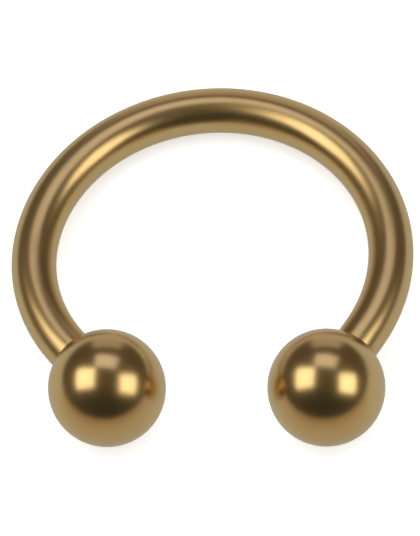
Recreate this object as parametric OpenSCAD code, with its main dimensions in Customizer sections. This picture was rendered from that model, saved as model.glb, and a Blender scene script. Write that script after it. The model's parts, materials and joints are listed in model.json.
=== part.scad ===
// Circular barbell: a round bar bent to an open ring, with a ball screwed on each end.
// It lies on its side as it rests on a table: both balls and the far side of the bar touch z = 0.
// Millimetres, +Z up, +X along the line through the ball centres, +Y from the balls to the far side.
// The origin is the bottom centre of the whole piece.

/* [Bar] */
// Diameter of the round bar
bar_d = 1.15; // [1.1:0.05:1.6]
// Inner diameter of the bend
inner_d = 8; // [7.5:0.5:12]
// Angle of the main bend from its middle to the left
left_bend = 71; // [66:0.5:76]
// Angle of the slightly tighter bend that follows on the left
left_end_bend = 51.5; // [48:0.5:54]
// Radius of that tighter bend as a share of the main bend's
left_end_share = 0.93; // [0.9:0.01:0.98]
// Angle of the main bend from its middle to the right
right_bend = 128; // [124:0.5:130]
// Straight length from the left bend to the centre of its ball
left_straight = 1.5; // [1.4:0.05:2]
// Straight length from the right bend to the centre of its ball
right_straight = 1.9; // [1.4:0.05:2.2]

/* [Balls] */
// Diameter of each ball
ball_d = 3; // [2.8:0.1:4]
// Distance from a ball's centre to the seat of the bar's shoulder
seat_h = 1.2; // [1.1:0.05:1.25]
// Gap all round the bar where it enters a ball
recess_gap = 0.02; // [0.01:0.01:0.05]

/* [Thread] */
// Outer diameter of the thread on the studs
thread_d = 0.95; // [0.8:0.05:0.95]
// Depth of the thread
thread_h = 0.1; // [0.05:0.01:0.12]
// Distance between two thread crests
pitch = 0.25; // [0.2:0.05:0.3]
// Length of each stud from the bar's shoulder
stud_l = 1.6; // [1.2:0.05:1.8]
// Length of the plain neck between the shoulder and the thread
neck_l = 0.1; // [0.05:0.05:0.2]
// Running gap between a thread crest and the hole in the ball
thread_gap = 0.025; // [0.02:0.005:0.04]
// Depth of the hole past the end of the stud
hole_spare = 0.05; // [0.05:0.05:0.2]

/* [Hidden] */
$fn = 96;

gold = "#CFA661";
bar_r = bar_d / 2;
ball_r = ball_d / 2;
bend_r = (inner_d + bar_d) / 2;
left_end_r = bend_r * left_end_share;
crest_r = thread_d / 2;
root_r = crest_r - thread_h;
crests = floor((stud_l - neck_l) / pitch + 0.001);
hole_r = crest_r + thread_gap;
hole_l = stud_l + hole_spare;
recess_r = bar_r + recess_gap;
// A drilled hole ends in a cone with a point angle of 118 degrees
drill_tip = hole_r / tan(59);
// Each stretch of the bar is a hair thinner than the one it grows out of and starts inside it,
// so that the stretches join in one solid
step = 0.005;
overlap = 0.1;
overlap_turn = overlap / left_end_r * 180 / PI;

// The bar's centreline is drawn flat, from the centre of the main bend, with its middle at +Y
left_turn = left_bend + left_end_bend;
left_end_centre = (bend_r - left_end_r) * [-sin(left_bend), cos(left_bend)];
left_bend_end = left_end_centre + left_end_r * [-sin(left_turn), cos(left_turn)];
right_bend_end = bend_r * [sin(right_bend), cos(right_bend)];
// Directions in which the two ends run into their balls
left_way = [-cos(left_turn), -sin(left_turn)];
right_way = [cos(right_bend), -sin(right_bend)];
left_ball_at = left_bend_end + left_straight * left_way;
right_ball_at = right_bend_end + right_straight * right_way;

// The flat drawing is turned until the line through the ball centres runs along X
line_turn = atan2(right_ball_at.y - left_ball_at.y, right_ball_at.x - left_ball_at.x);
function turned(p) = [
    p.x * cos(line_turn) + p.y * sin(line_turn),
    p.y * cos(line_turn) - p.x * sin(line_turn)
];
ball_y = turned(left_ball_at).y;

// The balls are thicker than the bar, so the far side lies lower by this angle
rest_tilt = asin((ball_r - bar_r) / (bend_r - ball_y));
lift = ball_r + ball_y * sin(rest_tilt);

// Outer limits of the piece as it lies, which put the origin at its middle
x_high = bend_r + bar_r;
x_low = turned(left_end_centre).x - left_end_r - bar_r;
y_high = bend_r * cos(rest_tilt) + bar_r;
y_low = ball_y * cos(rest_tilt) - ball_r;

// Moves what is drawn in the flat plane to where it lies at rest
module at_rest() {
    translate([-(x_low + x_high) / 2, -(y_low + y_high) / 2, lift])
        rotate([-rest_tilt, 0, 0])
            rotate([0, 0, -line_turn])
                children();
}

// Moves what is drawn on the Z axis to a point of the plane, with +Z along a direction in it
module along(at, way) {
    translate([at.x, at.y, 0])
        rotate([0, 0, atan2(way.y, way.x)])
            rotate([0, 90, 0])
                children();
}

// A round bar bent about the Z axis, between two angles counted from +X
module bend(radius, from, to, rod_r) {
    rotate([0, 0, from])
        rotate_extrude(angle = to - from)
            translate([radius, 0])
                circle(r = rod_r);
}

// The stud with its crests: its foot starts inside the bar, and the shoulder is at z = overlap
module stud() {
    flank = pitch * 0.4;
    land = pitch - 2 * flank;
    first = overlap + neck_l;
    end = overlap + stud_l;
    crest_points = [
        for (i = [0 : crests - 1])
            let (z = first + i * pitch)
                each [[root_r, z], [crest_r, z + flank], [crest_r, z + flank + land]]
    ];
    rotate_extrude()
        polygon(concat([[0, 0], [root_r, 0]], crest_points, [[root_r, end], [0, end]]));
}

// One end of the bar: the straight stretch up to the shoulder, then the stud
module bar_end(straight, rod_r) {
    shoulder = straight - seat_h;
    translate([0, 0, -overlap])
        cylinder(h = overlap + shoulder, r = rod_r);
    translate([0, 0, shoulder - overlap])
        stud();
}

// A ball about the origin, with its hole open towards -Z
module ball() {
    difference() {
        sphere(r = ball_r);
        translate([0, 0, -ball_d])
            cylinder(h = ball_d - seat_h, r = recess_r);
        translate([0, 0, -ball_d])
            cylinder(h = ball_d - seat_h + hole_l, r = hole_r);
        translate([0, 0, hole_l - seat_h])
            cylinder(h = drill_tip, r1 = hole_r, r2 = 0);
    }
}

module bar() {
    color(gold)
        at_rest() {
            bend(bend_r, 90 - right_bend, 90 + left_bend, bar_r);
            translate([left_end_centre.x, left_end_centre.y, 0])
                bend(left_end_r, 90 + left_bend - overlap_turn, 90 + left_turn, bar_r - step);
            along(left_bend_end, left_way)
                bar_end(left_straight, bar_r - 2 * step);
            along(right_bend_end, right_way)
                bar_end(right_straight, bar_r - step);
        }
}

module left_ball() {
    color(gold)
        at_rest()
            along(left_ball_at, left_way)
                ball();
}

module right_ball() {
    color(gold)
        at_rest()
            along(right_ball_at, right_way)
                ball();
}

bar();
left_ball();
right_ball();
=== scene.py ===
"""Circular barbell: a bent steel bar with a ball screwed on each end, all of it gold-coloured."""

import json
import math
from collections import namedtuple

import bmesh
import bpy
from bpy.props import FloatProperty, FloatVectorProperty, IntProperty, PointerProperty
from mathutils import Matrix, Quaternion, Vector


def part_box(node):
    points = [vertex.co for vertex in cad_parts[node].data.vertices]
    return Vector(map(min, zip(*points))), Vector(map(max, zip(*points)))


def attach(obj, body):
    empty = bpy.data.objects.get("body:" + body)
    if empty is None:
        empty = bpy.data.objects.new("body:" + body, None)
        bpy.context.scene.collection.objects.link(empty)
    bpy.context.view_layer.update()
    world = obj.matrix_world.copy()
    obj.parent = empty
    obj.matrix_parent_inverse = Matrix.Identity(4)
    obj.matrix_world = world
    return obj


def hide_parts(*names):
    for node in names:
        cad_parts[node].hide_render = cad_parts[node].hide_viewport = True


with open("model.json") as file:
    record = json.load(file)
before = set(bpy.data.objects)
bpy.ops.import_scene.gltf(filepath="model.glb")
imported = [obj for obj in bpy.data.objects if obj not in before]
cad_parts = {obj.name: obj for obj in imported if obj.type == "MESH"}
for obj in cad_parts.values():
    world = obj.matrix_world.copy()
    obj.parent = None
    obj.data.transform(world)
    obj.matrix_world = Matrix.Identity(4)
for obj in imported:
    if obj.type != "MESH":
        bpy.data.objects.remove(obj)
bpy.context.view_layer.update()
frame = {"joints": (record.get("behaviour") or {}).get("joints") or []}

bl_info = {
    "name": "Circular Barbell",
    "version": (1, 0, 0),
    "blender": (4, 5, 0),
    "location": "View3D > Sidebar > Barbell",
    "description": "Builds a circular barbell from its sizes, and a small studio round it",
    "category": "Add Mesh",
}

MM = 0.001
# Vertices nearer than this are one vertex: the seam of a tube and the point at a stud's tip
WELD = 1e-7
# A corner that turns by more than this stays sharp
SHARP_ANGLE = math.radians(40)
# How far the bar's line may end from the right ball's centre: the centres come from the boxes of the CAD
# balls, whose facets put them a few thousandths of a millimetre off
END_MISS = 0.02 * MM


def linear(hex_colour):
    """Turns an sRGB hex colour such as #E3C282 to the linear red, green, blue and alpha that nodes take."""
    channels = [int(hex_colour[i : i + 2], 16) / 255 for i in (1, 3, 5)]
    curved = [c / 12.92 if c <= 0.04045 else ((c + 0.055) / 1.055) ** 2.4 for c in channels]
    return (*curved, 1.0)


def length(name, description, millimetres):
    """A length that a user may change, given in millimetres."""
    return FloatProperty(
        name=name,
        description=description,
        default=millimetres * MM,
        min=0.0,
        precision=5,
        subtype="DISTANCE",
        unit="LENGTH",
    )


def angle(name, description, degrees):
    """An angle that a user may change, given in degrees."""
    return FloatProperty(
        name=name,
        description=description,
        default=math.radians(degrees),
        subtype="ANGLE",
        unit="ROTATION",
    )


def share(name, description, value):
    """A share from 0 to 1 that a user may change."""
    return FloatProperty(
        name=name,
        description=description,
        default=value,
        min=0.0,
        max=1.0,
        subtype="FACTOR",
    )


def colour(name, description, hex_colour):
    """A colour that a user may change, given in sRGB."""
    return FloatVectorProperty(
        name=name,
        description=description,
        default=linear(hex_colour),
        size=4,
        min=0.0,
        max=1.0,
        subtype="COLOR",
    )


class BarSizes(bpy.types.PropertyGroup):
    """The bent bar, whose ends and directions come from the frame."""

    diameter: length("Diameter", "Diameter of the round bar", 1.15)
    inner_diameter: length("Inner Diameter", "Inner diameter of the bend", 8)
    main_bend: angle(
        "Main Bend", "Angle of the main bend, from the left over the far side to the right", 199
    )
    left_end_bend: angle("Left End Bend", "Angle of the slightly tighter bend on the left", 51.5)
    left_end_share: share(
        "Left End Radius", "Radius of the tighter bend as a share of the main bend's", 0.93
    )
    left_straight: length(
        "Left Straight", "Straight length from the left bend to the centre of its ball", 1.5
    )
    right_straight: length(
        "Right Straight", "Straight length from the right bend to the centre of its ball", 1.9
    )
    edge_round: length("Edge Round", "Radius of the rounded edge at each shoulder", 0.03)
    ring_turn: angle("Ring Turn", "Angle of the bend between two rings of faces", 1)
    sides: IntProperty(name="Sides", description="Faces round the bar", default=96, min=12)


class ThreadSizes(bpy.types.PropertyGroup):
    """The threaded studs on the bar's ends and the tapped holes that they go into."""

    diameter: length("Diameter", "Outer diameter of the thread on the studs", 0.95)
    depth: length("Depth", "Depth of the thread", 0.1)
    pitch: length("Pitch", "Distance between two thread crests", 0.25)
    stud_length: length("Stud Length", "Length of each stud from the bar's shoulder", 1.6)
    neck_length: length("Neck Length", "Length of the plain neck between the shoulder and the thread", 0.1)
    tip_round: length("Tip Round", "Radius of the rounded edge at a stud's tip", 0.06)
    running_gap: length("Running Gap", "Gap between a crest of the stud and the hole in the ball", 0.025)
    groove_depth: length("Groove Depth", "Depth of the thread that is cut in the wall of the hole", 0.06)
    hole_spare: length("Hole Spare", "Depth of the hole past the end of the stud", 0.05)
    drill_angle: angle("Drill Angle", "Point angle of the drill that left the hole's end", 118)
    rings_per_turn: IntProperty(
        name="Rings per Turn", description="Rings of faces for each turn", default=14, min=6
    )


class BallSizes(bpy.types.PropertyGroup):
    """The two balls."""

    diameter: length("Diameter", "Diameter of each ball", 3)
    seat_height: length(
        "Seat Height", "Distance from a ball's centre to the seat of the bar's shoulder", 1.2
    )
    recess_gap: length("Recess Gap", "Gap all round the bar where it enters a ball", 0.02)
    edge_round: length("Edge Round", "Radius of the rounded edge at the mouth of the recess", 0.03)
    ring_turn: angle("Ring Turn", "Angle of the ball's outline between two rings of faces", 2)
    sides: IntProperty(name="Sides", description="Faces round a ball", default=144, min=12)


class GoldFinish(bpy.types.PropertyGroup):
    """The gold-coloured coat and the polish under it."""

    gold: colour("Gold", "Colour of the coat", "#E3C282")
    deep_gold: colour("Deep Gold", "Colour where the coat is a little thicker", "#E1BC7C")
    bar_roughness: share("Bar Roughness", "Roughness of the drawn and buffed bar", 0.30)
    ball_roughness: share("Ball Roughness", "Roughness of the tumbled balls", 0.25)
    roughness_spread: share("Roughness Spread", "How much the roughness varies over the surface", 0.04)
    cloud_size: length("Cloud Size", "Size of the patches in which coat and polish vary", 1.5)
    wave_size: length("Wave Size", "Size of the shallow waves that polishing leaves", 0.9)
    wave_height: length("Wave Height", "Height of those waves", 0.005)
    mark_size: length("Mark Size", "Width of the polishing marks", 0.06)
    mark_height: length("Mark Height", "Height of the polishing marks", 0.001)


class StudioSettings(bpy.types.PropertyGroup):
    """The floor, the walls, the light and the camera."""

    floor_colour: colour("Floor", "Colour of the paper on the floor", "#F7F7F7")
    mirrored_floor_colour: colour(
        "Mirrored Floor", "Colour of the paper as the metal mirrors it", "#ADB1B5"
    )
    # The mirrored paper darkens towards this colour in front of the balls: painted shade of the dark room
    # on the camera's side
    front_floor_shade_colour: colour(
        "Front Floor", "Colour of the mirrored paper some way in front of the balls", "#97897D"
    )
    near_wall_colour: colour("Near Wall", "Colour of the dim walls in front of the object", "#9DA7A4")
    far_wall_colour: colour("Far Wall", "Colour of the dim walls beside and beyond the object", "#FFE9D0")
    azimuth: angle("Azimuth", "Direction of the camera, 0 looking along +Y", 10.77)
    elevation: angle("Elevation", "Height of the camera above the horizon", 62.86)
    roll: angle("Roll", "Turn of the camera about its own line of sight", -9.82)
    distance: length("Distance", "Distance of the camera from the point it looks at", 342.27)
    lens: FloatProperty(
        name="Lens", description="Focal length of the long lens", default=900, unit="CAMERA"
    )


def add_node(tree, kind, inputs=None, **settings):
    """Adds a node, gives it its settings, and fills its inputs with values or with other nodes' outputs."""
    node = tree.nodes.new(kind)
    for name, value in settings.items():
        setattr(node, name, value)
    for key, value in (inputs or {}).items():
        if isinstance(value, bpy.types.NodeSocket):
            tree.links.new(value, node.inputs[key])
        else:
            node.inputs[key].default_value = value
    return node


def empty_material(name):
    """A new material with no nodes yet, and its node tree."""
    material = bpy.data.materials.new(name)
    material.use_nodes = True
    material.node_tree.nodes.clear()
    return material, material.node_tree


def polished_gold(name, finish, roughness, places_in_mm, stretch):
    """Titanium nitride laid by PVD on surgical steel, tumbled and buffed to a mirror before it was coated.

    The coat is a few thousandths of a millimetre thick and follows the steel, so what the eye gets is a
    yellow mirror that is slightly soft, with waves and marks too fine to see one by one.
    places_in_mm adds the nodes that give each point's place in millimetres, and stretch says how much
    longer the polishing marks are than wide along each axis of those places."""
    material, tree = empty_material(name)
    places = places_in_mm(tree)

    clouds = add_node(
        tree,
        "ShaderNodeTexNoise",
        {"Vector": places, "Scale": MM / finish.cloud_size, "Detail": 2.0, "Roughness": 0.5},
    )
    tone = add_node(
        tree,
        "ShaderNodeMix",
        {0: clouds.outputs["Fac"], 6: finish.gold, 7: finish.deep_gold},
        data_type="RGBA",
    )
    # The noise runs from 0 to 1, but hardly leaves these limits
    noise_low, noise_high = 0.2, 0.8
    softness = add_node(
        tree,
        "ShaderNodeMapRange",
        {
            "Value": clouds.outputs["Fac"],
            "From Min": noise_low,
            "From Max": noise_high,
            "To Min": roughness - finish.roughness_spread / 2,
            "To Max": roughness + finish.roughness_spread / 2,
        },
        interpolation_type="SMOOTHSTEP",
    )

    waves = add_node(
        tree,
        "ShaderNodeTexNoise",
        {"Vector": places, "Scale": MM / finish.wave_size, "Detail": 1.0, "Roughness": 0.4},
    )
    # Real buffing marks are a few thousandths of a millimetre wide, which no view of the whole piece
    # shows, so they are drawn as wide as mark_size
    along_marks = add_node(
        tree,
        "ShaderNodeMapping",
        {"Vector": places, "Scale": [1 / times for times in stretch]},
    )
    marks = add_node(
        tree,
        "ShaderNodeTexNoise",
        {
            "Vector": along_marks.outputs["Vector"],
            "Scale": MM / finish.mark_size,
            "Detail": 3.0,
            "Roughness": 0.6,
        },
    )
    waved = add_node(
        tree,
        "ShaderNodeBump",
        {"Height": waves.outputs["Fac"], "Distance": finish.wave_height, "Strength": 1.0},
    )
    marked = add_node(
        tree,
        "ShaderNodeBump",
        {
            "Height": marks.outputs["Fac"],
            "Distance": finish.mark_height,
            "Strength": 1.0,
            "Normal": waved.outputs["Normal"],
        },
    )
    shader = add_node(
        tree,
        "ShaderNodeBsdfPrincipled",
        {
            "Base Color": tone.outputs[2],
            "Metallic": 1.0,
            "Roughness": softness.outputs["Result"],
            "Normal": marked.outputs["Normal"],
        },
    )
    add_node(tree, "ShaderNodeOutputMaterial", {"Surface": shader.outputs["BSDF"]})
    return material


def straightened_places(tree):
    """Each point's place in millimetres on the bar before it was bent, which the bar's mesh carries."""
    stored = add_node(tree, "ShaderNodeAttribute", attribute_name="straightened", attribute_type="GEOMETRY")
    scaled = add_node(
        tree,
        "ShaderNodeVectorMath",
        {0: stored.outputs["Vector"], "Scale": 1 / MM},
        operation="SCALE",
    )
    return scaled.outputs["Vector"]


def own_places(tree):
    """Each point's place in millimetres on the object."""
    coordinates = add_node(tree, "ShaderNodeTexCoord")
    scaled = add_node(
        tree,
        "ShaderNodeVectorMath",
        {0: coordinates.outputs["Object"], "Scale": 1 / MM},
        operation="SCALE",
    )
    return scaled.outputs["Vector"]


# One ring of a turned shape: where it lies, its radius, and how much of the thread's depth it has
Ring = namedtuple("Ring", "at radius thread")
# Where a ball sits, and the way in which it comes off the bar
Seat = namedtuple("Seat", "ball_centre way")


def ball_seat(side):
    """The seat of the left or the right ball, from the frame."""
    low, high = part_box(f"{side}_ball")
    joint = next(j for j in frame["joints"] if j["child"] == f"{side}_ball")
    return Seat((low + high) / 2, Vector(joint["axis"]).normalized())


def steps(start, end, count):
    """Evenly spaced values from start to end, both of them included."""
    return [start + (end - start) * i / count for i in range(count + 1)]


def stud_rings(bar, thread):
    """The rings of a stud, from the rounded edge of the shoulder to the tip.

    Each ring's place is its distance past the shoulder."""
    edge_steps, face_steps, tip_steps = 6, 4, 5
    bar_radius = bar.diameter / 2
    root_radius = thread.diameter / 2 - thread.depth
    # Rings at one place would lie in one plane with no direction between them, so they are this far apart
    hair = bar.edge_round / 30
    rings = []
    for turn in steps(0, math.pi / 2, edge_steps):
        place = bar.edge_round * (math.sin(turn) - 1)
        rings.append(Ring(place, bar_radius - bar.edge_round * (1 - math.cos(turn)), 0.0))
    face = steps(bar_radius - bar.edge_round, root_radius, face_steps)
    rings += [Ring(hair * i, radius, 0.0) for i, radius in enumerate(face) if i > 0]

    # The thread comes to its full depth over half a turn, and runs out over another
    thread_end = thread.stud_length - thread.tip_round
    runout = thread.pitch / 2
    ring_gap = thread.pitch / thread.rings_per_turn
    count = round((thread_end - thread.neck_length) / ring_gap)
    for place in steps(thread.neck_length, thread_end, count):
        from_ends = min(place - thread.neck_length, thread_end - place)
        rings.append(Ring(place, root_radius, min(1.0, from_ends / runout)))
    for turn in steps(0, math.pi / 2, tip_steps)[1:]:
        place = thread_end + thread.tip_round * math.sin(turn)
        rings.append(Ring(place, root_radius - thread.tip_round * (1 - math.cos(turn)), 0.0))
    tip = thread.stud_length + hair
    rings.append(Ring(tip, (root_radius - thread.tip_round) / 2, 0.0))
    rings.append(Ring(tip + hair, 0.0, 0.0))
    return rings


def bent_points(at, way, up, radius, turn, ring_turn):
    """The points of a bend to the right after the one where it starts, and the way on from its end."""
    centre = at + radius * way.cross(up)
    points = []
    for turned in steps(0, turn, round(turn / ring_turn))[1:]:
        points.append(centre + Quaternion(up, -turned) @ (at - centre))
    return points, Quaternion(up, -turn) @ way


def bar_rings(bar, thread, ball):
    """The rings of the whole bar, from the left stud's tip to the right one's, and its bend's own up."""
    left, right = ball_seat("left"), ball_seat("right")
    up = right.way.cross(left.way).normalized()
    left_shoulder = left.ball_centre - ball.seat_height * left.way
    right_shoulder = right.ball_centre - ball.seat_height * right.way
    stud = stud_rings(bar, thread)
    rings = [Ring(left_shoulder + s.at * left.way, s.radius, s.thread) for s in reversed(stud)]

    bar_radius = bar.diameter / 2
    bend_radius = (bar.inner_diameter + bar.diameter) / 2
    bend_start = left.ball_centre - bar.left_straight * left.way
    tight, way = bent_points(
        bend_start, -left.way, up, bend_radius * bar.left_end_share, bar.left_end_bend, bar.ring_turn
    )
    wide, way = bent_points(tight[-1], way, up, bend_radius, bar.main_bend, bar.ring_turn)
    miss = (wide[-1] + bar.right_straight * way - right.ball_centre).length
    if miss > END_MISS:
        raise ValueError(f"the bar's bends end {miss / MM:.3f} mm away from the right ball's centre")
    rings += [Ring(point, bar_radius, 0.0) for point in [bend_start, *tight, *wide]]

    rings += [Ring(right_shoulder + s.at * right.way, s.radius, s.thread) for s in stud]
    return rings, up


def line_through(name, rings):
    """A row of points joined by edges, each carrying its ring's radius and its share of the thread."""
    mesh = bpy.data.meshes.new(name)
    mesh.from_pydata([r.at for r in rings], [(i, i + 1) for i in range(len(rings) - 1)], [])
    for field in ("radius", "thread"):
        attribute = mesh.attributes.new(f"ring_{field}", "FLOAT", "POINT")
        attribute.data.foreach_set("value", [getattr(r, field) for r in rings])
    return mesh


def round_bar_tree():
    """A node tree that sets rings round a line and raises a right-handed thread on them."""
    tree = bpy.data.node_groups.new("Round bar with threaded ends", "GeometryNodeTree")
    for name, kind in {
        "Line": "NodeSocketGeometry",
        "Up": "NodeSocketVector",
        "Sides": "NodeSocketInt",
        "Thread Depth": "NodeSocketFloat",
        "Pitch": "NodeSocketFloat",
        "Weld": "NodeSocketFloat",
        "Material": "NodeSocketMaterial",
    }.items():
        tree.interface.new_socket(name, in_out="INPUT", socket_type=kind)
    tree.interface.new_socket("Bar", in_out="OUTPUT", socket_type="NodeSocketGeometry")
    given = add_node(tree, "NodeGroupInput").outputs

    # The line, which keeps its own place and how far along it each point is
    line = add_node(tree, "GeometryNodeMeshToCurve", {"Mesh": given["Line"]})
    level = add_node(
        tree,
        "GeometryNodeSetCurveNormal",
        {"Curve": line.outputs["Curve"], "Normal": given["Up"]},
        mode="FREE",
    )
    centre_line = add_node(tree, "GeometryNodeCaptureAttribute", {"Geometry": level.outputs["Curve"]})
    centre_line.capture_items.new("FLOAT", "Along")
    centre_line.capture_items.new("VECTOR", "Centre")
    travelled = add_node(tree, "GeometryNodeSplineParameter")
    place = add_node(tree, "GeometryNodeInputPosition")
    tree.links.new(travelled.outputs["Length"], centre_line.inputs["Along"])
    tree.links.new(place.outputs["Position"], centre_line.inputs["Centre"])

    # The ring is open, its last point on its first, so that the turn runs from 0 to 1 all round it
    points_in_ring = add_node(tree, "ShaderNodeMath", {0: given["Sides"], 1: 1.0}, operation="ADD")
    arc = add_node(
        tree,
        "GeometryNodeCurveArc",
        {
            "Resolution": points_in_ring.outputs[0],
            "Radius": 1.0,
            "Start Angle": 0.0,
            "Sweep Angle": math.tau,
        },
        mode="RADIUS",
    )
    ring = add_node(tree, "GeometryNodeCaptureAttribute", {"Geometry": arc.outputs["Curve"]})
    ring.capture_items.new("FLOAT", "Turn")
    ring.capture_items.new("VECTOR", "Outward")
    tree.links.new(travelled.outputs["Factor"], ring.inputs["Turn"])
    tree.links.new(place.outputs["Position"], ring.inputs["Outward"])

    radius = add_node(tree, "GeometryNodeInputNamedAttribute", {"Name": "ring_radius"}, data_type="FLOAT")
    tube = add_node(
        tree,
        "GeometryNodeCurveToMesh",
        {
            "Curve": centre_line.outputs["Geometry"],
            "Profile Curve": ring.outputs["Geometry"],
            "Scale": radius.outputs["Attribute"],
        },
    )

    # The thread: the turns travelled less the turn round the ring is a whole number in the middle of each
    # root, and half a turn on from there is the middle of a crest
    half_turn = 0.5
    flank_start, flank_end = 0.04, 0.44
    turns = add_node(
        tree,
        "ShaderNodeMath",
        {0: centre_line.outputs["Along"], 1: given["Pitch"]},
        operation="DIVIDE",
    )
    phase = add_node(
        tree,
        "ShaderNodeMath",
        {0: turns.outputs[0], 1: ring.outputs["Turn"]},
        operation="SUBTRACT",
    )
    wave = add_node(tree, "ShaderNodeMath", {0: phase.outputs[0], 1: half_turn}, operation="PINGPONG")
    height = add_node(
        tree,
        "ShaderNodeMapRange",
        {
            "Value": wave.outputs[0],
            "From Min": flank_start,
            "From Max": flank_end,
            "To Min": 0.0,
            "To Max": 1.0,
        },
        interpolation_type="SMOOTHSTEP",
    )
    standing = add_node(tree, "GeometryNodeInputNamedAttribute", {"Name": "ring_thread"}, data_type="FLOAT")
    deep = add_node(
        tree,
        "ShaderNodeMath",
        {0: standing.outputs["Attribute"], 1: given["Thread Depth"]},
        operation="MULTIPLY",
    )
    raised = add_node(
        tree,
        "ShaderNodeMath",
        {0: height.outputs["Result"], 1: deep.outputs[0]},
        operation="MULTIPLY",
    )
    from_centre = add_node(
        tree,
        "ShaderNodeVectorMath",
        {0: place.outputs["Position"], 1: centre_line.outputs["Centre"]},
        operation="SUBTRACT",
    )
    outward = add_node(
        tree,
        "ShaderNodeVectorMath",
        {0: from_centre.outputs["Vector"]},
        operation="NORMALIZE",
    )
    lifted = add_node(
        tree,
        "ShaderNodeVectorMath",
        {0: outward.outputs["Vector"], "Scale": raised.outputs[0]},
        operation="SCALE",
    )
    threaded = add_node(
        tree,
        "GeometryNodeSetPosition",
        {"Geometry": tube.outputs["Mesh"], "Offset": lifted.outputs["Vector"]},
    )

    # Each point's place on the straight bar, for the finish: along it, then across it both ways
    across = add_node(
        tree,
        "ShaderNodeVectorMath",
        {0: ring.outputs["Outward"], "Scale": radius.outputs["Attribute"]},
        operation="SCALE",
    )
    parts = add_node(tree, "ShaderNodeSeparateXYZ", {"Vector": across.outputs["Vector"]})
    straight = add_node(
        tree,
        "ShaderNodeCombineXYZ",
        {"X": centre_line.outputs["Along"], "Y": parts.outputs["X"], "Z": parts.outputs["Y"]},
    )
    placed = add_node(
        tree,
        "GeometryNodeStoreNamedAttribute",
        {
            "Geometry": threaded.outputs["Geometry"],
            "Name": "straightened",
            "Value": straight.outputs["Vector"],
        },
        data_type="FLOAT_VECTOR",
        domain="POINT",
    )

    welded = add_node(
        tree,
        "GeometryNodeMergeByDistance",
        {"Geometry": placed.outputs["Geometry"], "Distance": given["Weld"]},
    )
    smooth = add_node(tree, "GeometryNodeSetShadeSmooth", {"Geometry": welded.outputs["Geometry"]})
    real = add_node(tree, "GeometryNodeRealizeInstances", {"Geometry": smooth.outputs["Geometry"]})
    finished = add_node(
        tree,
        "GeometryNodeSetMaterial",
        {"Geometry": real.outputs["Geometry"], "Material": given["Material"]},
    )
    add_node(tree, "NodeGroupOutput", {"Bar": finished.outputs["Geometry"]})
    return tree


def through_nodes(line, tree, values):
    """Runs a mesh through a node tree and returns the plain mesh that comes out."""
    carrier = bpy.data.objects.new("carrier", line)
    bpy.context.scene.collection.objects.link(carrier)
    modifier = carrier.modifiers.new("nodes", "NODES")
    modifier.node_group = tree
    for item in tree.interface.items_tree:
        if item.in_out == "INPUT" and item.name in values:
            modifier[item.identifier] = values[item.name]
    carrier.update_tag()
    evaluated = carrier.evaluated_get(bpy.context.evaluated_depsgraph_get())
    mesh = bpy.data.meshes.new_from_object(evaluated)
    carrier.modifiers.remove(modifier)
    bpy.data.objects.remove(carrier)
    return mesh


def turned_mesh(name, rings, sides, groove_depth, pitch, seat):
    """A closed mesh turned on a lathe about a ball's own line, from rings of place, radius and thread.

    The thread is a groove that goes outwards, because it is cut in the wall of a hole."""
    along = seat.way.to_track_quat("Z", "Y").to_matrix()
    vertices, rows = [], []
    for ring in rings:
        if ring.radius == 0:
            rows.append([len(vertices)] * sides)
            vertices.append(seat.ball_centre + along @ Vector((0, 0, ring.at)))
            continue
        rows.append(list(range(len(vertices), len(vertices) + sides)))
        for i in range(sides):
            turn = i / sides
            phase = (ring.at / pitch - turn) % 1.0
            wave = min(phase, 1 - phase) * 2
            radius = ring.radius + groove_depth * ring.thread * wave * wave * (3 - 2 * wave)
            spot = Vector((radius * math.cos(math.tau * turn), radius * math.sin(math.tau * turn), ring.at))
            vertices.append(seat.ball_centre + along @ spot)
    faces = []
    for row, following in zip(rows, rows[1:]):
        for i in range(sides):
            j = (i + 1) % sides
            corners = [row[i], row[j], following[j], following[i]]
            faces.append(list(dict.fromkeys(corners)))
    mesh = bpy.data.meshes.new(name)
    mesh.from_pydata(vertices, [], faces)
    return mesh


def ball_rings(ball, bar, thread):
    """The rings of a ball from its far pole over its outside into the recess and down the tapped hole."""
    edge_steps = 8
    radius = ball.diameter / 2
    recess_radius = bar.diameter / 2 + ball.recess_gap
    rounding = ball.edge_round
    # The rounded edge touches the sphere on the inside and the recess's wall on the outside
    rounding_at = -math.sqrt((radius - rounding) ** 2 - (recess_radius + rounding) ** 2)
    edge_turn = math.atan2(recess_radius + rounding, rounding_at)
    rings = [Ring(radius, 0.0, 0.0)]
    for turn in steps(0, edge_turn, round(edge_turn / ball.ring_turn))[1:]:
        rings.append(Ring(radius * math.cos(turn), radius * math.sin(turn), 0.0))
    for turn in steps(edge_turn, 1.5 * math.pi, edge_steps)[1:]:
        place = rounding_at + rounding * math.cos(turn)
        rings.append(Ring(place, recess_radius + rounding + rounding * math.sin(turn), 0.0))

    seat_at = -ball.seat_height
    hole_radius = thread.diameter / 2 + thread.running_gap
    hole_end = seat_at + thread.stud_length + thread.hole_spare
    rings.append(Ring(seat_at, recess_radius, 0.0))
    rings.append(Ring(seat_at, hole_radius, 0.0))
    # The thread comes to its full depth over a quarter turn from the seat, and runs out over another
    runout = thread.pitch / 4
    count = round((hole_end - seat_at) / thread.pitch * thread.rings_per_turn)
    for place in steps(seat_at, hole_end, count)[1:]:
        from_ends = min(place - seat_at, hole_end - place)
        rings.append(Ring(place, hole_radius, min(1.0, from_ends / runout)))
    drill_tip = hole_radius / math.tan(thread.drill_angle / 2)
    rings.append(Ring(hole_end + drill_tip, 0.0, 0.0))
    return rings


def put_in_scene(name, data):
    """Puts a mesh, a lamp or a camera in the scene as an object of that name."""
    thing = bpy.data.objects.new(name, data)
    bpy.context.scene.collection.objects.link(thing)
    return thing


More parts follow.
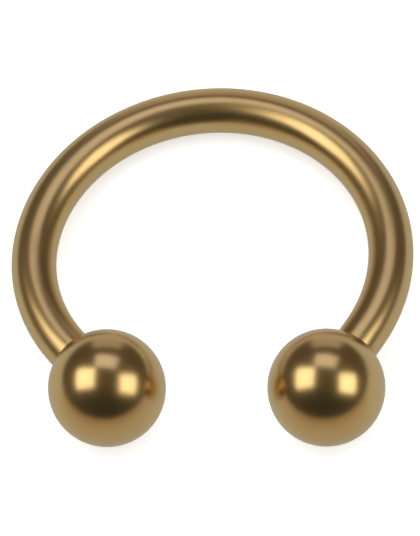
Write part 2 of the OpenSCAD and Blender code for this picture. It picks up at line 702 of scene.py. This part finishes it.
def add_piece(name, mesh, body, material):
    """Makes a finished piece of a mesh, smooth but for its sharp corners, in place of its body's node."""
    shape = bmesh.new()
    shape.from_mesh(mesh)
    bmesh.ops.recalc_face_normals(shape, faces=shape.faces)
    for face in shape.faces:
        face.smooth = True
    shape.to_mesh(mesh)
    shape.free()
    mesh.set_sharp_from_angle(angle=SHARP_ANGLE)
    mesh.materials.clear()
    mesh.materials.append(material)
    piece = put_in_scene(name, mesh)
    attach(piece, body)
    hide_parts(body)
    return piece


class BARBELL_OT_bar(bpy.types.Operator):
    """Bends the bar and cuts the threads on its ends"""

    bl_idname = "barbell.bar"
    bl_label = "Bar"
    bl_options = {"REGISTER"}

    def execute(self, context):
        scene = context.scene
        bar, thread, finish = scene.barbell_bar, scene.barbell_thread, scene.barbell_finish
        rings, up = bar_rings(bar, thread, scene.barbell_ball)
        # Drawn and then buffed lengthwise, so the marks run along the bar
        gold = polished_gold(
            "PVD gold on drawn steel", finish, finish.bar_roughness, straightened_places, (14, 1, 1)
        )
        mesh = through_nodes(
            line_through("bar line", rings),
            round_bar_tree(),
            {
                "Up": up,
                "Sides": bar.sides,
                "Thread Depth": thread.depth,
                "Pitch": thread.pitch,
                "Weld": WELD,
                "Material": gold,
            },
        )
        piece = add_piece("bent_bar", mesh, "bar", gold)
        return {"FINISHED"}


class BARBELL_OT_balls(bpy.types.Operator):
    """Turns the two balls, with their recesses and tapped holes"""

    bl_idname = "barbell.balls"
    bl_label = "Balls"
    bl_options = {"REGISTER"}

    def execute(self, context):
        scene = context.scene
        bar, ball, thread = scene.barbell_bar, scene.barbell_ball, scene.barbell_thread
        finish = scene.barbell_finish
        # Turned and then tumbled, so the marks run every way
        gold = polished_gold(
            "PVD gold on tumbled steel", finish, finish.ball_roughness, own_places, (1, 1, 1)
        )
        for side in ("left", "right"):
            rings = ball_rings(ball, bar, thread)
            mesh = turned_mesh(
                f"{side} ball", rings, ball.sides, thread.groove_depth, thread.pitch, ball_seat(side)
            )
            piece = add_piece(f"{side}_screw_ball", mesh, f"{side}_ball", gold)
        return {"FINISHED"}


def softbox_cloth(name, hex_colour, strength, width, height, soft_edge):
    """White cloth lit from behind, even in the middle and fading over soft_edge at its four edges."""
    material, tree = empty_material(name)
    coordinates = add_node(tree, "ShaderNodeTexCoord")
    off_middle = add_node(
        tree,
        "ShaderNodeVectorMath",
        {0: coordinates.outputs["Object"]},
        operation="ABSOLUTE",
    )
    sides = add_node(tree, "ShaderNodeSeparateXYZ", {"Vector": off_middle.outputs["Vector"]})
    across, upward = (
        add_node(
            tree,
            "ShaderNodeMapRange",
            {
                "Value": sides.outputs[axis],
                "From Min": size / 2,
                "From Max": size / 2 - soft_edge,
                "To Min": 0.0,
                "To Max": 1.0,
            },
            interpolation_type="SMOOTHSTEP",
        )
        for axis, size in (("X", width), ("Y", height))
    )
    lit = add_node(
        tree,
        "ShaderNodeMath",
        {0: across.outputs["Result"], 1: upward.outputs["Result"]},
        operation="MULTIPLY",
    )
    bright = add_node(tree, "ShaderNodeMath", {0: lit.outputs[0], 1: strength}, operation="MULTIPLY")
    glow = add_node(
        tree,
        "ShaderNodeEmission",
        {"Color": linear(hex_colour), "Strength": bright.outputs[0]},
    )
    # Where a card has faded it lets the dim room behind it through
    clear = add_node(tree, "ShaderNodeBsdfTransparent")
    mixed = add_node(
        tree,
        "ShaderNodeMixShader",
        {0: lit.outputs[0], 1: clear.outputs["BSDF"], 2: glow.outputs["Emission"]},
    )
    add_node(tree, "ShaderNodeOutputMaterial", {"Surface": mixed.outputs["Shader"]})
    return material


def white_paper(colour):
    """Matt white paper that glows a little, so that only a faint shadow falls on it."""
    material, tree = empty_material("White paper")
    shader = add_node(
        tree,
        "ShaderNodeBsdfPrincipled",
        {
            "Base Color": colour,
            "Roughness": 0.9,
            "Specular IOR Level": 0.0,
            "Emission Color": colour,
            "Emission Strength": 0.4,
        },
    )
    add_node(tree, "ShaderNodeOutputMaterial", {"Surface": shader.outputs["BSDF"]})
    return material


def mirrored_paper(colour, front_shade_colour):
    """The paper as the metal mirrors it, with painted shade: darker in front of the object, towards the
    dark of the room.
    """
    # Its painted shade turns it from the one colour to the other between these places on Y, fastest at the
    # first
    front_start, front_end, front_power = -5 * MM, -17 * MM, 0.55
    # This share of its light comes through it from below, where no shadow of the object reaches
    glow_share, glow_strength = 0.65, 1.26
    material, tree = empty_material("Mirrored paper")
    coordinates = add_node(tree, "ShaderNodeTexCoord")
    place = add_node(tree, "ShaderNodeSeparateXYZ", {"Vector": coordinates.outputs["Object"]})
    forward = add_node(
        tree,
        "ShaderNodeMapRange",
        {"Value": place.outputs["Y"], "From Min": front_start, "From Max": front_end},
    )
    shade_share = add_node(
        tree,
        "ShaderNodeMath",
        {0: forward.outputs["Result"], 1: front_power},
        operation="POWER",
    )
    # The paper's colour, with the painted shade mixed in towards the front
    tint_with_painted_shade = add_node(
        tree,
        "ShaderNodeMix",
        {0: shade_share.outputs[0], 6: colour, 7: front_shade_colour},
        data_type="RGBA",
    )
    lit = add_node(tree, "ShaderNodeBsdfDiffuse", {"Color": tint_with_painted_shade.outputs[2]})
    glow = add_node(tree, "ShaderNodeEmission", {"Color": tint_with_painted_shade.outputs[2], "Strength": glow_strength})
    mixed = add_node(
        tree,
        "ShaderNodeMixShader",
        {0: glow_share, 1: lit.outputs["BSDF"], 2: glow.outputs["Emission"]},
    )
    add_node(tree, "ShaderNodeOutputMaterial", {"Surface": mixed.outputs["Shader"]})
    return material


def dim_walls(near_colour, far_colour, radius):
    """Walls of a dark room, darkest in front of the object and lit a little by the sweep beyond it."""
    # They turn from the one colour to the other between the very front and almost beside the object
    far_start, brightness = -0.1 * radius, 0.089
    material, tree = empty_material("Dim walls")
    coordinates = add_node(tree, "ShaderNodeTexCoord")
    place = add_node(tree, "ShaderNodeSeparateXYZ", {"Vector": coordinates.outputs["Object"]})
    farther = add_node(
        tree,
        "ShaderNodeMapRange",
        {"Value": place.outputs["Y"], "From Min": -radius, "From Max": far_start},
        interpolation_type="SMOOTHSTEP",
    )
    paint = add_node(
        tree,
        "ShaderNodeMix",
        {0: farther.outputs["Result"], 6: near_colour, 7: far_colour},
        data_type="RGBA",
    )
    glow = add_node(tree, "ShaderNodeEmission", {"Color": paint.outputs[2], "Strength": brightness})
    add_node(tree, "ShaderNodeOutputMaterial", {"Surface": glow.outputs["Emission"]})
    return material


def studio_thing(name, shape, material):
    """Puts a finished bmesh of one material in the scene, and frees it."""
    mesh = bpy.data.meshes.new(name)
    shape.to_mesh(mesh)
    shape.free()
    mesh.materials.append(material)
    return put_in_scene(name, mesh)


def for_reflections_only(thing):
    """Keeps a part of the studio out of sight and out of the floor's light: only the metal mirrors it."""
    thing.visible_camera = False
    thing.visible_diffuse = False
    thing.visible_shadow = False


def camera_turn(studio):
    """How the camera is turned: it looks from its azimuth and elevation, and leans by its roll."""
    to_camera = Vector(
        (
            math.sin(studio.azimuth) * math.cos(studio.elevation),
            -math.cos(studio.azimuth) * math.cos(studio.elevation),
            math.sin(studio.elevation),
        )
    )
    return (-to_camera).to_track_quat("-Z", "Y") @ Quaternion((0, 0, 1), studio.roll)


# A lit card: how far it hangs to the right of the camera and above it, in degrees about the object, how
# far its top leans to the left, in degrees too, and its size and soft edge in metres. Right and left are
# those of a photographer behind the camera
Card = namedtuple("Card", "name right above lean width height soft_edge colour strength")


def add_card(card, turn):
    """Hangs a lit card that faces the object from a metre away."""
    right, above, lean = (math.radians(a) for a in (card.right, card.above, card.lean))
    cloth = softbox_cloth(
        f"{card.name} cloth", card.colour, card.strength, card.width, card.height, card.soft_edge
    )
    facing = Quaternion((0, 1, 0), right) @ Quaternion((1, 0, 0), -above) @ Quaternion((0, 0, 1), lean)
    facing = turn @ facing
    shape = bmesh.new()
    corners = ((-0.5, -0.5), (0.5, -0.5), (0.5, 0.5), (-0.5, 0.5))
    shape.faces.new([shape.verts.new((x * card.width, y * card.height, 0)) for x, y in corners])
    hung = studio_thing(card.name, shape, cloth)
    hung.matrix_world = Matrix.Translation(facing @ Vector((0, 0, 1))) @ facing.to_matrix().to_4x4()
    for_reflections_only(hung)


# Radius of the room in metres
ROOM_RADIUS = 2.0


class BARBELL_OT_studio(bpy.types.Operator):
    """Lays the floor, hangs the lights and sets up the camera"""

    bl_idname = "barbell.studio"
    bl_label = "Studio"
    bl_options = {"REGISTER"}

    def execute(self, context):
        scene = context.scene
        studio = scene.barbell_studio
        scene.view_settings.view_transform = "Standard"
        turn = camera_turn(studio)
        self.add_floor(studio)
        self.add_room(studio)
        self.add_cards(turn)
        self.add_light(scene)
        self.add_camera(scene, studio, turn)
        return {"FINISHED"}

    def add_floor(self, studio):
        """White paper for the eye, and just above it the darker paper that only the metal mirrors, with
        painted shade in front of the object.
        """
        floor = self.add_sheet("floor", white_paper(studio.floor_colour))
        floor.visible_glossy = False
        # The mirrored paper carries painted shade in front of the object
        darker = mirrored_paper(studio.mirrored_floor_colour, studio.front_floor_shade_colour)
        mirrored = self.add_sheet("mirrored_floor", darker)
        mirrored.location.z = 0.005 * MM
        for_reflections_only(mirrored)

    def add_sheet(self, name, paper):
        """A round sheet of paper that reaches a little past the walls."""
        shape = bmesh.new()
        bmesh.ops.create_circle(shape, cap_ends=True, segments=64, radius=1.1 * ROOM_RADIUS)
        return studio_thing(name, shape, paper)

    def add_room(self, studio):
        """The dark room that stands round the floor."""
        shape = bmesh.new()
        bmesh.ops.create_uvsphere(shape, u_segments=48, v_segments=24, radius=ROOM_RADIUS)
        walls = dim_walls(studio.near_wall_colour, studio.far_wall_colour, ROOM_RADIUS)
        for_reflections_only(studio_thing("room", shape, walls))

    def add_cards(self, turn):
        """Two softboxes beside the camera, a window above it and the paper that sweeps up behind."""
        for card in (
            Card(
                "left_softbox",
                right=-45.5,
                above=18,
                lean=9,
                width=0.91,
                height=0.90,
                soft_edge=0.18,
                colour="#FFFFFF",
                strength=1.85,
            ),
            Card(
                "right_softbox",
                right=42.5,
                above=8,
                lean=-7,
                width=0.87,
                height=0.88,
                soft_edge=0.20,
                colour="#FFFFFF",
                strength=1.89,
            ),
            Card(
                "window",
                right=-2,
                above=55,
                lean=-9,
                width=0.88,
                height=0.66,
                soft_edge=0.13,
                colour="#E7E8FF",
                strength=1.06,
            ),
            Card(
                "paper_sweep",
                right=-4,
                above=103,
                lean=0,
                width=0.90,
                height=0.74,
                soft_edge=0.16,
                colour="#FFF5FC",
                strength=0.455,
            ),
        ):
            add_card(card, turn)

    def add_light(self, scene):
        """Pale light from all round and a large soft lamp overhead, which light the floor."""
        room_light, lamp_power, lamp_width = 1.14, 1.3, 0.9
        lamp_place = Vector((-0.2, 0.3, 0.95))
        world = bpy.data.worlds.new("Pale room light")
        scene.world = world
        world.use_nodes = True
        background = world.node_tree.nodes["Background"]
        background.inputs["Color"].default_value = linear("#FFFFFF")
        background.inputs["Strength"].default_value = room_light
        world.cycles_visibility.glossy = False
        lamp = bpy.data.lights.new("overhead", "AREA")
        lamp.shape = "DISK"
        lamp.size = lamp_width
        lamp.energy = lamp_power
        overhead = put_in_scene("overhead", lamp)
        overhead.visible_glossy = False
        overhead.location = lamp_place
        overhead.rotation_mode = "QUATERNION"
        overhead.rotation_quaternion = (-lamp_place).to_track_quat("-Z", "Y")

    def add_camera(self, scene, studio, turn):
        """A camera with a long lens, well above the floor, as the photograph was taken."""
        # The middle of the photograph's frame, which is close to the middle of the object
        aim = Vector((-0.058, -0.075, 0.983)) * MM
        lens = bpy.data.cameras.new("camera")
        lens.lens = studio.lens
        lens.clip_start = 0.01
        lens.clip_end = 10.0
        camera = put_in_scene("camera", lens)
        camera.location = aim + turn @ Vector((0, 0, studio.distance))
        camera.rotation_mode = "QUATERNION"
        camera.rotation_quaternion = turn
        scene.camera = camera


class BARBELL_PT_panel(bpy.types.Panel):
    """Lists what the barbell is made of"""

    bl_label = "Circular Barbell"
    bl_idname = "BARBELL_PT_panel"
    bl_space_type = "VIEW_3D"
    bl_region_type = "UI"
    bl_category = "Barbell"

    def draw(self, context):
        for title, group, operator in (
            ("Bar", "barbell_bar", "barbell.bar"),
            ("Thread", "barbell_thread", None),
            ("Balls", "barbell_ball", "barbell.balls"),
            ("Finish", "barbell_finish", None),
            ("Studio", "barbell_studio", "barbell.studio"),
        ):
            box = self.layout.box()
            box.label(text=title)
            settings = getattr(context.scene, group)
            for name in settings.__annotations__:
                box.prop(settings, name)
            if operator:
                box.operator(operator)


SETTINGS = {
    "barbell_bar": BarSizes,
    "barbell_thread": ThreadSizes,
    "barbell_ball": BallSizes,
    "barbell_finish": GoldFinish,
    "barbell_studio": StudioSettings,
}
CLASSES = (*SETTINGS.values(), BARBELL_OT_bar, BARBELL_OT_balls, BARBELL_OT_studio, BARBELL_PT_panel)


def register():
    """Adds the classes to Blender and the settings to its scenes."""
    for cls in CLASSES:
        bpy.utils.register_class(cls)
    for name, group in SETTINGS.items():
        setattr(bpy.types.Scene, name, PointerProperty(type=group))


def unregister():
    """Takes the settings and the classes out again."""
    for name in SETTINGS:
        delattr(bpy.types.Scene, name)
    for cls in reversed(CLASSES):
        bpy.utils.unregister_class(cls)


def main():
    """Builds the studio and every piece."""
    register()
    bpy.ops.barbell.studio()
    bpy.ops.barbell.bar()
    bpy.ops.barbell.balls()


if __name__ == "__main__":
    main()
